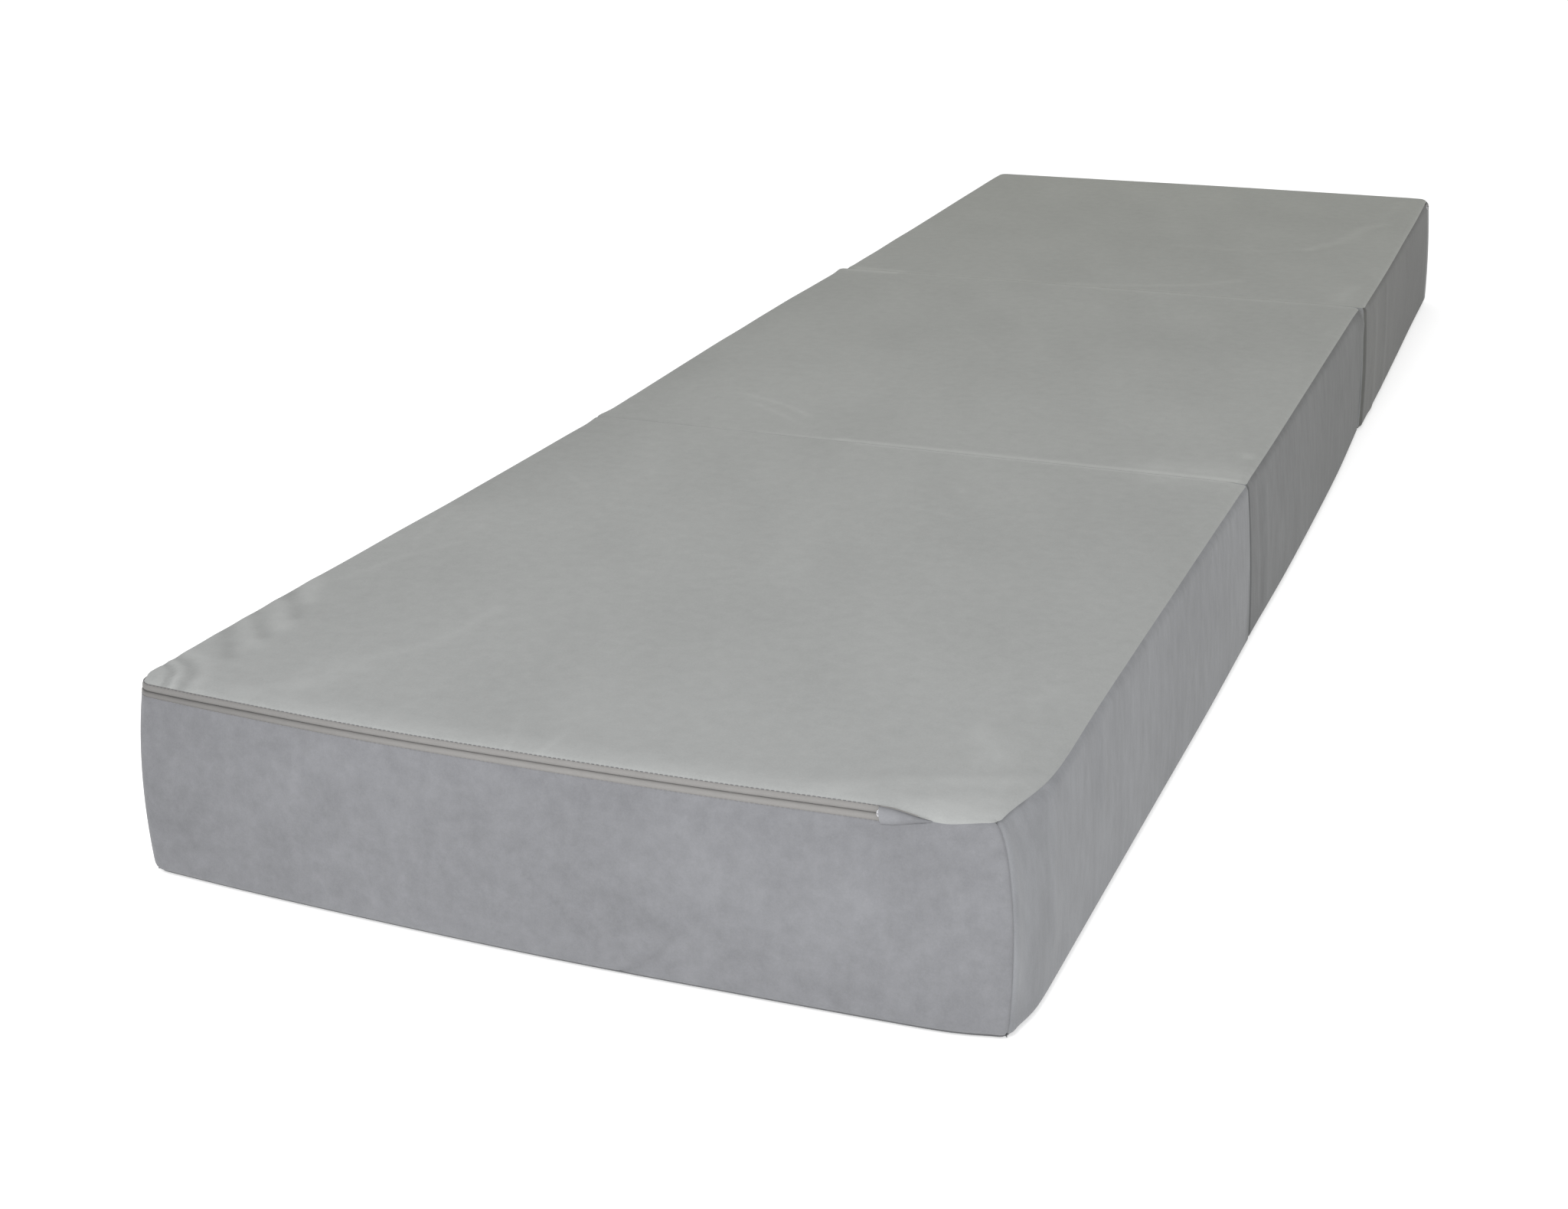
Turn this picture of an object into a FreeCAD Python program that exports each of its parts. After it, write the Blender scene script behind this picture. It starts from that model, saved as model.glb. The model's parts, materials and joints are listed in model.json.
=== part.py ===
# Three-section folding foam mattress in a fitted fabric cover.
#
# Frame: X across the mattress, Y along it, Z up, millimetres.  The origin is the centre of the
# underside.  The front section, with its zip on the end face, is at -Y.
#
# Every section is a foam core in a sewn cover with one zip.  A section is drawn with its zip
# facing -Y and the middle of its underside at the origin, and is then turned and moved into
# place.  "Span" is a section's size along its zip side, "depth" its size square to that.
import FreeCAD
import Part
import Sketcher
import os
import re

DRIVING_SIZES = {
    "mattress_width": 600,
    "mattress_length": 2000,
    "mattress_height": 140,
    "fold_gap": 3,            # between two neighbouring sections
    "fabric": 2,              # cover fabric with its lining
    "corner_radius": 12,      # upright corners of a section
    "memory_foam": 50,        # upper, slow foam layer
    "strip_thickness": 1,     # hinge strips sewn between the sections
    "strip_drop": 28,
    "strip_inset": 12,
    "zip_window": 12,         # height of the slot that the zip fills
    "zip_recess": 5,          # from the cover's face back to the zip tape
    "zip_open_margin": 14,    # from the corner to the zip's open end
    "zip_closed_margin": 44,  # from the corner to the end of the tapes, in the garage
    "hem": 6,                 # folded edge of the fabric below the zip
    "tape": 0.8,
    "slit": 1.6,              # between the two tapes
    "coil_height": 2,
    "coil_depth": 1.5,
    "running_gap": 0.3,
    "slider_margin": 88,      # from the corner to the slider's near end, zip closed
    "slider_length": 12,
    "slider_height": 9,
    "plate": 1.2,             # a slider's outer and inner plates
    "post_width": 1,
    "post_length": 3,
    "arch_length": 7.4,       # the arch that holds the pull
    "arch_height": 1.8,
    "arch_width": 2,
    "arch_bar": 0.6,
    "pull_length": 22,
    "pull_height": 6,
    "pull_thickness": 0.8,
    "eye_length": 4.6,
    "eye_height": 4,
    "pull_bar": 1.4,
    "garage_length": 37,
    "garage_skin": 1.2,
    "garage_front": 0.3,      # from the cover's face back to the garage
    "garage_wall": 1,
    "stop_length": 3,
    "stop_height": 6,
    "stop_plate": 0.8,
    "groove_margin": 0.7,     # room behind the slider in the foam
}

SECTION = "((mattress_length - 2 * fold_gap) / 3)"
PITCH = f"({SECTION} + fold_gap)"

# What differs from one section to the next: the size along and square to the zip side, the turn
# about Z, the place along the mattress, and what the zip side and the sides that follow it
# anticlockwise are called.
SECTIONS = {
    "front": {
        "span": "mattress_width",
        "depth": SECTION,
        "turn": 0,
        "place": f"-{PITCH}",
        "sides": ("front", "right", "back", "left"),
    },
    "middle": {
        "span": SECTION,
        "depth": "mattress_width",
        "turn": -90,
        "place": "0",
        "sides": ("left", "front", "right", "back"),
    },
    "back": {
        "span": "mattress_width",
        "depth": SECTION,
        "turn": 180,
        "place": PITCH,
        "sides": ("back", "left", "front", "right"),
    },
}

doc = FreeCAD.newDocument("FoldingMattress")
sheet = doc.addObject("Spreadsheet::Sheet", "Sizes")
for line, (alias, value) in enumerate(DRIVING_SIZES.items(), start=1):
    sheet.set(f"A{line}", alias)
    sheet.set(f"B{line}", str(value))
    sheet.setAlias(f"B{line}", alias)
doc.recompute()

sub_parts = []


def formula(text):
    """Return text with every driving size written as a reference to the sheet."""
    return re.sub(
        r"[a-z_]+",
        lambda word: f"Sizes.{word[0]}" if word[0] in DRIVING_SIZES else word[0],
        str(text),
    )


def bind(obj, **properties):
    """Bind properties of obj, written with __ for a dot, to formulas in the driving sizes."""
    for name, text in properties.items():
        obj.setExpression(name.replace("__", "."), formula(text))


def sub_part(obj, name, section=None):
    """Name a finished object and, when it belongs to a section, turn and move it there."""
    obj.Label = name
    if section:
        turn = FreeCAD.Rotation(FreeCAD.Vector(0, 0, 1), section["turn"])
        obj.Placement = FreeCAD.Placement(FreeCAD.Vector(), turn)
        bind(obj, Placement__Base__y=section["place"])
    sub_parts.append(obj)
    return obj


def rectangle(body, plane, corner, width, height):
    """Sketch a rectangle on one of the body's origin planes, its low corner set off from there."""
    sketch = body.newObject("Sketcher::SketchObject", "Sketch")
    origin_plane = [f for f in body.Origin.OriginFeatures if f.Role == plane][0]
    sketch.AttachmentSupport = [(origin_plane, "")]
    sketch.MapMode = "FlatFace"
    bind(
        sketch,
        AttachmentOffset__Base__x=corner[0],
        AttachmentOffset__Base__y=corner[1],
        AttachmentOffset__Base__z=corner[2],
    )
    corners = [FreeCAD.Vector(x, y, 0) for x, y in ((0, 0), (1, 0), (1, 1), (0, 1))]
    for i in range(4):
        sketch.addGeometry(Part.LineSegment(corners[i], corners[(i + 1) % 4]))
    for i in range(4):
        sketch.addConstraint(Sketcher.Constraint("Coincident", i, 2, (i + 1) % 4, 1))
        direction = "Horizontal" if i % 2 == 0 else "Vertical"
        sketch.addConstraint(Sketcher.Constraint(direction, i))
    sketch.addConstraint(Sketcher.Constraint("Coincident", 0, 1, -1, 1))
    for name, line, size in (("width", 0, width), ("height", 1, height)):
        index = sketch.addConstraint(Sketcher.Constraint("Distance", line, 1.0))
        sketch.renameConstraint(index, name)
        sketch.setExpression(f"Constraints.{name}", formula(size))
    return sketch


def pad(body, plane, corner, width, height, length):
    """Pad a sketched rectangle along its plane's normal."""
    feature = body.newObject("PartDesign::Pad", "Pad")
    feature.Profile = rectangle(body, plane, corner, width, height)
    bind(feature, Length=length)
    doc.recompute()
    return feature


def pocket(body, plane, corner, width, height, length):
    """Cut a sketched rectangle into the body, against its plane's normal."""
    before = body.Shape.Volume
    feature = body.newObject("PartDesign::Pocket", "Pocket")
    feature.Profile = rectangle(body, plane, corner, width, height)
    bind(feature, Length=length)
    doc.recompute()
    if not body.Shape.Volume < before - 1e-6:
        raise RuntimeError(f"{body.Name}: a pocket removed nothing")
    return feature


def round_edges(body, radius, along, wanted=lambda edge: True):
    """Fillet the straight edges of the body that run along the given direction."""
    base = body.Tip
    names = []
    for i, edge in enumerate(base.Shape.Edges, start=1):
        straight = edge.Curve.TypeId == "Part::GeomLine"
        if straight and abs(edge.tangentAt(0).dot(along)) > 0.999 and wanted(edge):
            names.append(f"Edge{i}")
    fillet = body.newObject("PartDesign::Fillet", "Fillet")
    fillet.Base = (base, names)
    bind(fillet, Radius=radius)
    doc.recompute()
    return fillet


def new_body():
    return doc.addObject("PartDesign::Body", "Body")


def box(x, y, z, length, width, height):
    block = doc.addObject("Part::Box", "Block")
    bind(block, Length=length, Width=width, Height=height)
    bind(block, Placement__Base__x=x, Placement__Base__y=y, Placement__Base__z=z)
    return block


def boolean(kind, base, tool):
    feature = doc.addObject(f"Part::{kind}", kind)
    feature.Base = base
    feature.Tool = tool
    doc.recompute()
    return feature


X_AXIS = FreeCAD.Vector(1, 0, 0)
Y_AXIS = FreeCAD.Vector(0, 1, 0)
Z_AXIS = FreeCAD.Vector(0, 0, 1)

# Heights that several pieces share.
WINDOW_TOP = "(mattress_height - fabric)"
WINDOW_BOTTOM = f"({WINDOW_TOP} - zip_window)"
SLIT_CENTRE = f"({WINDOW_TOP} - zip_window / 2)"


def slab(section, inset, bottom, thickness):
    """A rounded rectangle of the section's plan, drawn in by inset: foam or a cover panel."""
    body = new_body()
    corner = (f"{inset} - {section['span']} / 2", f"{inset} - {section['depth']} / 2", bottom)
    width = f"{section['span']} - 2 * {inset}"
    height = f"{section['depth']} - 2 * {inset}"
    pad(body, "XY_Plane", corner, width, height, thickness)
    round_edges(body, f"corner_radius - {inset}", Z_AXIS)
    return body


def foam_core(name, section):
    """The firm base block and the slow foam layer on it, which leaves room behind the zip."""
    base_height = "(mattress_height - 2 * fabric - memory_foam)"
    base = slab(section, "fabric", "fabric", base_height)
    sub_part(base, f"{name}_base_foam", section)

    upper = slab(section, "fabric", f"fabric + {base_height}", "memory_foam")
    groove_depth = "zip_recess + tape + coil_depth + running_gap + plate + groove_margin"
    corner = (
        f"zip_open_margin - {section['span']} / 2",
        f"-{section['depth']} / 2",
        WINDOW_TOP,
    )
    length = f"{section['span']} - zip_open_margin - zip_closed_margin"
    pocket(upper, "XY_Plane", corner, length, groove_depth, "zip_window + hem")
    sub_part(upper, f"{name}_memory_foam", section)


def side_wedge(along, square):
    """A prism under one side's half of the plan, split from its neighbours at 45 degrees."""
    wedge = doc.addObject("Part::Wedge", "Wedge")
    bind(
        wedge,
        Xmin=f"-{along} / 2",
        Xmax=f"{along} / 2",
        X2min=f"2 * corner_radius - {along} / 2",
        X2max=f"{along} / 2 - 2 * corner_radius",
        Ymin=f"-{square} / 2",
        Ymax=f"2 * corner_radius - {square} / 2",
        Zmin="fabric",
        Z2min="fabric",
        Zmax=WINDOW_TOP,
        Z2max=WINDOW_TOP,
    )
    return wedge


def rounded_block(section, inset):
    """A block of the cover's side height with rounded upright corners."""
    block = box(
        f"{inset} - {section['span']} / 2",
        f"{inset} - {section['depth']} / 2",
        "fabric",
        f"{section['span']} - 2 * {inset}",
        f"{section['depth']} - 2 * {inset}",
        f"{WINDOW_TOP} - fabric",
    )
    doc.recompute()
    fillet = doc.addObject("Part::Fillet", "RoundedBlock")
    fillet.Base = block
    radius = DRIVING_SIZES["corner_radius"] - (DRIVING_SIZES["fabric"] if inset != "0" else 0)
    upright = [
        i
        for i, edge in enumerate(block.Shape.Edges, start=1)
        if abs(edge.tangentAt(0).dot(Z_AXIS)) > 0.999
    ]
    fillet.Edges = [(i, radius, radius) for i in upright]
    doc.recompute()
    return fillet


def cover(name, section):
    """Top and bottom panels and the four side bands of one section's cover."""
    sub_part(slab(section, "0", WINDOW_TOP, "fabric"), f"{name}_top_panel", section)
    sub_part(slab(section, "0", "0", "fabric"), f"{name}_bottom_panel", section)

    sides = boolean("Cut", rounded_block(section, "0"), rounded_block(section, "fabric"))
    for quarter, side in enumerate(section["sides"]):
        lengthways = quarter % 2 == 0
        along = section["span"] if lengthways else section["depth"]
        square = section["depth"] if lengthways else section["span"]
        wedge = side_wedge(along, square)
        wedge.Placement.Rotation = FreeCAD.Rotation(Z_AXIS, 90 * quarter)
        band = boolean("Common", sides, wedge)
        if quarter == 0:
            band = zip_band(section, band)
        sub_part(band, f"{name}_{side}_band", section)


def zip_band(section, band):
    """The band on the zip side: a window for the zip and a folded hem along its lower edge."""
    start = f"zip_open_margin - {section['span']} / 2"
    length = f"{section['span']} - zip_open_margin - zip_closed_margin"
    face = f"-{section['depth']} / 2"
    window = box(start, face, WINDOW_BOTTOM, length, "fabric", "zip_window")
    hem = box(
        start,
        f"{face} + fabric",
        f"{WINDOW_BOTTOM} - hem",
        length,
        "zip_recess + tape - fabric",
        "hem",
    )
    return boolean("Fuse", boolean("Cut", band, window), hem)


def tape_and_coil(name, section):
    """Two woven tapes with a slit between them, and the coil sewn behind the edge of each."""
    span = section["span"]
    face = f"-{section['depth']} / 2"
    start = f"zip_open_margin - {span} / 2"
    length = f"{span} - zip_open_margin - zip_closed_margin"
    tape_height = "(zip_window - slit) / 2"
    coil_start = f"{start} + stop_length"
    coil_end = f"({span} / 2 - slider_margin + slider_length + running_gap)"
    levels = {
        "lower": (WINDOW_BOTTOM, f"{SLIT_CENTRE} - slit / 2 - coil_height"),
        "upper": (f"{SLIT_CENTRE} + slit / 2", f"{SLIT_CENTRE} + slit / 2"),
    }
    for level, (tape_bottom, coil_bottom) in levels.items():
        tape = new_body()
        corner = (f"{face} + zip_recess", tape_bottom, start)
        pad(tape, "YZ_Plane", corner, "tape", tape_height, length)
        sub_part(tape, f"{name}_zip_{level}_tape", section)

        coil = new_body()
        corner = (f"{face} + zip_recess + tape", coil_bottom, coil_start)
        pad(coil, "YZ_Plane", corner, "coil_depth", "coil_height", f"{coil_end} - ({coil_start})")
        round_edges(coil, "coil_depth / 3", X_AXIS)
        sub_part(coil, f"{name}_zip_{level}_coil", section)


def end_stops(name, section):
    """A clip across both tapes at the open end and a stop on each tape at the closed end."""
    span = section["span"]
    face = f"-{section['depth']} / 2"
    start = f"zip_open_margin - {span} / 2"
    clip_bottom = f"{SLIT_CENTRE} - stop_height / 2"
    front = box(start, f"{face} + zip_recess - stop_plate", clip_bottom,
                "stop_length", "stop_plate", "stop_height")
    rear = box(start, f"{face} + zip_recess + tape", clip_bottom,
               "stop_length", "stop_plate", "stop_height")
    web = box(start, f"{face} + zip_recess", f"{SLIT_CENTRE} - slit / 2",
              "stop_length", "tape", "slit")
    clip = boolean("Fuse", boolean("Fuse", front, web), rear)

    stop_start = f"{span} / 2 - slider_margin + slider_length + running_gap"
    stop_depth = "coil_depth + running_gap + plate / 2"
    stops = [clip]
    for bottom in (f"{SLIT_CENTRE} - slit / 2 - coil_height", f"{SLIT_CENTRE} + slit / 2"):
        stops.append(box(stop_start, f"{face} + zip_recess + tape", bottom,
                         "stop_length", stop_depth, "coil_height"))
    group = doc.addObject("Part::Compound", "Stops")
    group.Links = stops
    doc.recompute()
    sub_part(group, f"{name}_zip_end_stops", section)


def slider(name, section):
    """Slider body: an outer and an inner plate, the post between the tapes, and the pull's arch."""
    face = f"-{section['depth']} / 2"
    near = f"({section['span']} / 2 - slider_margin)"
    bottom = f"{SLIT_CENTRE} - slider_height / 2"
    outer = f"({face} + zip_recess - running_gap - plate)"
    inner = f"({face} + zip_recess + tape + coil_depth + running_gap)"

    body = new_body()
    pad(body, "XY_Plane", (near, outer, bottom), "slider_length", "plate", "slider_height")
    post_start = f"{near} + slider_length - post_length - plate"
    pad(body, "XY_Plane", (post_start, f"{outer} + plate", f"{SLIT_CENTRE} - post_width / 2"),
        "post_length", "2 * running_gap + tape + coil_depth", "post_width")
    pad(body, "XY_Plane", (near, inner, bottom), "slider_length", "plate", "slider_height")
    arch_start = f"{near} + (slider_length - arch_length) / 2"
    arch_bottom = f"{SLIT_CENTRE} - arch_width / 2"
    pad(body, "XY_Plane", (arch_start, f"{outer} - arch_height", arch_bottom),
        "arch_length", "arch_height", "arch_width")
    pocket(body, "XY_Plane",
           (f"{arch_start} + pull_bar", f"{outer} - arch_height + arch_bar",
            f"{arch_bottom} + arch_width"),
           "arch_length - 2 * pull_bar", "arch_height - arch_bar", "arch_width")
    limits = (body.Shape.BoundBox.ZMin, body.Shape.BoundBox.ZMax)
    round_edges(body, "plate", Y_AXIS, lambda e: min(abs(e.CenterOfMass.z - z) for z in limits) < 0.01)
    sub_part(body, f"{name}_zip_slider", section)

    pull = new_body()
    pull_start = f"{arch_start} + pull_bar + running_gap"
    pull_front = f"{outer} - pull_thickness"
    pad(pull, "XY_Plane", (pull_start, pull_front, f"{SLIT_CENTRE} - pull_height / 2"),
        "pull_length", "pull_thickness", "pull_height")
    pocket(pull, "XY_Plane",
           (f"{pull_start} + pull_bar", pull_front, f"{SLIT_CENTRE} + eye_height / 2"),
           "eye_length", "pull_thickness", "eye_height")
    round_edges(pull, "pull_bar / 2", Y_AXIS)
    sub_part(pull, f"{name}_zip_pull", section)


def garage(name, section):
    """A fabric pocket over the closed end of the zip, open towards the slider's travel."""
    face = f"-{section['depth']} / 2"
    end = f"({section['span']} / 2 - zip_closed_margin)"
    start = f"{end} - garage_length"
    body = new_body()
    pad(body, "XY_Plane", (start, f"{face} + garage_front", WINDOW_BOTTOM),
        "garage_length", "zip_recess - garage_front", "zip_window")
    pocket(body, "XY_Plane",
           (start, f"{face} + garage_front + garage_skin", f"{WINDOW_TOP} - garage_wall"),
           "garage_length - garage_wall", "zip_recess - garage_front - garage_skin",
           "zip_window - 2 * garage_wall")
    sub_part(body, f"{name}_zip_garage", section)


def hinge_strip(name, place, bottom):
    """A fabric strip sewn along one face of a fold, across the mattress."""
    body = new_body()
    corner = (place, bottom, "strip_inset - mattress_width / 2")
    pad(body, "YZ_Plane", corner, "strip_thickness", "strip_drop",
        "mattress_width - 2 * strip_inset")
    sub_part(body, name)


for section_name, details in SECTIONS.items():
    foam_core(section_name, details)
    cover(section_name, details)
    tape_and_coil(section_name, details)
    end_stops(section_name, details)
    slider(section_name, details)
    garage(section_name, details)

# The front strip hangs at the top of the first fold, the back strip stands at the foot of the
# second one: the sections fold opposite ways.
hinge_strip("front_hinge_strip", f"-{SECTION} / 2 - fold_gap",
            "mattress_height - strip_drop - strip_thickness")
hinge_strip("back_hinge_strip", f"{SECTION} / 2", "strip_thickness")
doc.recompute()

for obj in doc.Objects:
    if {"Invalid", "Error"} & set(obj.State):
        raise RuntimeError(f"{obj.Label} failed: {obj.State}")
for part in sub_parts:
    if part.Shape.isNull() or not part.Shape.isValid() or part.Shape.Volume <= 0:
        raise RuntimeError(f"{part.Label} has no sound shape")

os.makedirs("parts", exist_ok=True)
for part in sub_parts:
    part.Shape.exportStep(f"parts/{part.Label}.step")
    bounds = part.Shape.BoundBox
    print(f"{part.Label}: {len(part.Shape.Solids)} solid, {part.Shape.Volume / 1000:.2f} cm3,"
          f" x {bounds.XMin:.2f}..{bounds.XMax:.2f}, y {bounds.YMin:.2f}..{bounds.YMax:.2f},"
          f" z {bounds.ZMin:.2f}..{bounds.ZMax:.2f}")
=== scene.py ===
"""A folding foam mattress in three sections, under a grey velour cover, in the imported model's frame.

Lengths are metres; sizes written in millimetres are multiplied by MM.  Each section's cover is cut
from one soft body: a box whose edges are rounded and whose sides bow and bulge.  A point of the
plain box goes through soft_body() to its place on the cover, so panels that share an edge of the
box share a seam.
"""
import json
import math

import bpy
import numpy as np
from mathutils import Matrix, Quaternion, Vector


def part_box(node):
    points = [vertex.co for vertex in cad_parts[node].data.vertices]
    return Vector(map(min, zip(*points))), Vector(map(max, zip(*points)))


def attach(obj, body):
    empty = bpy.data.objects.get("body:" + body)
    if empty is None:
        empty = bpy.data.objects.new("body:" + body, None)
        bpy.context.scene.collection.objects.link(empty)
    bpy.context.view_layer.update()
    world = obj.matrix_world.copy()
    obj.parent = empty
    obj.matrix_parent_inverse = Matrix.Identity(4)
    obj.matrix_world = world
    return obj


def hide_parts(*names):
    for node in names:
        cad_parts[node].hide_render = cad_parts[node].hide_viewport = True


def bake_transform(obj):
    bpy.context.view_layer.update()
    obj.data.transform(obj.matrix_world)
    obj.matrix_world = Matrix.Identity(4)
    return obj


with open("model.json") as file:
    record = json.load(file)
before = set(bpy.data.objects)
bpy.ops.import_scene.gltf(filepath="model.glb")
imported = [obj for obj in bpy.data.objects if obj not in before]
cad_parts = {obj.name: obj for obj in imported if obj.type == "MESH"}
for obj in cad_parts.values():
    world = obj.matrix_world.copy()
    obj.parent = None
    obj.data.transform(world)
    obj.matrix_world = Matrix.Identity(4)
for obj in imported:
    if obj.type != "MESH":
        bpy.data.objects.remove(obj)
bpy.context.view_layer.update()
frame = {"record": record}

MM = 0.001
SIDES = ("front", "right", "back", "left")
OUTWARD = {"front": (0, -1), "right": (1, 0), "back": (0, 1), "left": (-1, 0)}
ALONG = {"front": (1, 0), "right": (0, 1), "back": (-1, 0), "left": (0, -1)}


# ---------------------------------------------------------------- camera, floor and lights

FLOOR_REACH = 30
FLOOR_DROP = 0.6 * MM


def make_camera():
    camera = bpy.data.objects.new("camera", bpy.data.cameras.new("camera"))
    bpy.context.scene.collection.objects.link(camera)
    camera.data.sensor_width = 36
    camera.data.lens = 51.85
    camera.data.clip_end = 100
    camera.location = (0.6004, -2.1182, 0.7044)
    target = Vector((-0.0222, -0.5575, 0.070))
    roll = math.radians(-0.46)
    level = (target - camera.location).to_track_quat("-Z", "Y")
    camera.rotation_mode = "QUATERNION"
    camera.rotation_quaternion = level @ Quaternion((0, 0, 1), roll)
    bpy.context.scene.camera = camera


def area_light(name, place, aim, size, power):
    light = bpy.data.objects.new(name, bpy.data.lights.new(name, "AREA"))
    bpy.context.scene.collection.objects.link(light)
    light.data.shape = "DISK"
    light.data.size = size
    light.data.energy = power
    light.location = place
    light.rotation_mode = "QUATERNION"
    light.rotation_quaternion = (Vector(aim) - Vector(place)).to_track_quat("-Z", "Y")


def make_studio():
    scene = bpy.context.scene
    scene.view_settings.view_transform = "Standard"
    world = bpy.data.worlds.new("studio")
    world.use_nodes = True
    nodes, links = world.node_tree.nodes, world.node_tree.links
    nodes["Background"].inputs["Color"].default_value = (1, 1, 1, 1)
    strength = nodes.new("ShaderNodeMapRange")
    strength.inputs["To Min"].default_value = 0.64
    strength.inputs["To Max"].default_value = 1.0
    links.new(nodes.new("ShaderNodeLightPath").outputs["Is Camera Ray"], strength.inputs["Value"])
    links.new(strength.outputs[0], nodes["Background"].inputs["Strength"])
    scene.world = world
    area_light("key", (0.3, -3.0, 2.4), (0, -0.6, 0), 1.5, 62)

    corners = [(-FLOOR_REACH, -FLOOR_REACH, 0), (FLOOR_REACH, -FLOOR_REACH, 0),
               (FLOOR_REACH, FLOOR_REACH, 0), (-FLOOR_REACH, FLOOR_REACH, 0)]
    mesh = bpy.data.meshes.new("floor")
    mesh.from_pydata(corners, [], [(0, 1, 2, 3)])
    floor = bpy.data.objects.new("floor", mesh)
    scene.collection.objects.link(floor)
    floor.location.z = -FLOOR_DROP
    material = bpy.data.materials.new("floor")
    material.use_nodes = True
    shader = material.node_tree.nodes["Principled BSDF"]
    shader.inputs["Base Color"].default_value = (0.85, 0.85, 0.85, 1)
    shader.inputs["Emission Color"].default_value = (1, 1, 1, 1)
    shader.inputs["Emission Strength"].default_value = 0.5
    shader.inputs["Roughness"].default_value = 1
    shader.inputs["Specular IOR Level"].default_value = 0
    mesh.materials.append(material)


make_camera()
make_studio()


# ---------------------------------------------------------------- helpers

def noise(x, y, cell, seed):
    """Smooth value noise from -1 to 1 over two coordinates, the same on every run."""
    lattice = np.random.default_rng(seed).uniform(-1, 1, (97, 97))
    gx, gy = np.broadcast_arrays(x / cell + 211.3, y / cell + 157.7)
    ix, iy = np.floor(gx).astype(int), np.floor(gy).astype(int)
    fx, fy = gx - ix, gy - iy
    fx, fy = fx * fx * (3 - 2 * fx), fy * fy * (3 - 2 * fy)
    near = lattice[ix % 97, iy % 97] * (1 - fx) + lattice[(ix + 1) % 97, iy % 97] * fx
    far = lattice[ix % 97, (iy + 1) % 97] * (1 - fx) + lattice[(ix + 1) % 97, (iy + 1) % 97] * fx
    return near * (1 - fy) + far * fy


def curve(values, along):
    """A smooth curve through values at even steps as along goes from -1 to 1."""
    padded = np.concatenate([[2 * values[0] - values[1]], values, [2 * values[-1] - values[-2]]])
    steps = np.clip((np.clip(along, -1, 1) + 1) / 2 * (len(values) - 1), 0, len(values) - 1 - 1e-9)
    i = steps.astype(int)
    t = steps - i
    p0, p1, p2, p3 = (padded[i + k] for k in range(4))
    rise, fall = (p2 - p0) / 2, (p3 - p1) / 2
    return (
        p1 * (1 - t) ** 2 * (1 + 2 * t) + rise * t * (1 - t) ** 2
        + p2 * t**2 * (3 - 2 * t) - fall * t**2 * (1 - t)
    )


def ease(value, start, end):
    """Smooth step from 0 at start to 1 at end."""
    s = np.clip((value - start) / (end - start), 0, 1)
    return s * s * (3 - 2 * s)


def stations(start, end, step, fine=(0, 0.5, 1, 1.6, 2.4, 3.4, 4.8, 6.6, 9, 12)):
    """Places from start to end, close together near both ends."""
    edge = np.array(fine) * MM
    first, last = start + edge[-1], end - edge[-1]
    if last - first < step:
        return np.linspace(start, end, max(4, int((end - start) / (2 * MM))))
    count = max(2, int(round((last - first) / step)) + 1)
    middle = np.linspace(first, last, count)
    return np.concatenate([start + edge[:-1], middle, (end - edge[:-1])[::-1]])


def grid_faces(rows, columns, offset=0, flip=False):
    base = offset + np.arange((rows - 1) * columns).reshape(rows - 1, columns)[:, :-1].ravel()
    faces = np.stack([base, base + 1, base + columns + 1, base + columns], axis=1)
    return faces[:, ::-1] if flip else faces


def grid_normals(points):
    """Unit normals of a grid of points, with the rows running along its second axis."""
    normals = np.cross(np.gradient(points, axis=1), np.gradient(points, axis=0))
    return normals / np.maximum(np.linalg.norm(normals, axis=2, keepdims=True), 1e-12)


def new_piece(name, points, faces, material, sharp=50):
    mesh = bpy.data.meshes.new(name)
    faces = faces.tolist() if isinstance(faces, np.ndarray) else faces
    mesh.from_pydata(np.asarray(points).reshape(-1, 3).tolist(), [], faces)
    mesh.validate()
    mesh.update()
    mesh.polygons.foreach_set("use_smooth", [True] * len(mesh.polygons))
    mesh.set_sharp_from_angle(angle=math.radians(sharp))
    mesh.materials.append(material)
    piece = bpy.data.objects.new(name, mesh)
    bpy.context.scene.collection.objects.link(piece)
    return piece


def cloth(name, points, thickness, material, nap=None):
    """A sheet from a grid of its outer points, with an inner face and closed rims."""
    rows, columns = points.shape[:2]
    inner = points - grid_normals(points) * thickness
    count = rows * columns
    rim = np.concatenate([
        np.arange(columns),
        np.arange(1, rows) * columns + columns - 1,
        (rows - 1) * columns + np.arange(columns - 2, -1, -1),
        np.arange(rows - 2, 0, -1) * columns,
    ])
    following = np.roll(rim, -1)
    sides = np.stack([rim, rim + count, following + count, following], axis=1)
    faces = np.concatenate([
        grid_faces(rows, columns),
        grid_faces(rows, columns, count, flip=True),
        sides,
    ])
    piece = new_piece(name, np.concatenate([points.reshape(-1, 3), inner.reshape(-1, 3)]),
                      faces, material)
    # This attribute carries the cloth's own tone together with painted light and shade.
    if nap is not None:
        attribute = piece.data.attributes.new("nap", "FLOAT", "POINT")
        flat = np.broadcast_to(nap, (rows, columns)).ravel()
        attribute.data.foreach_set("value", np.concatenate([flat, flat]).astype(np.float32))
    return piece


# ---------------------------------------------------------------- materials

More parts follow.
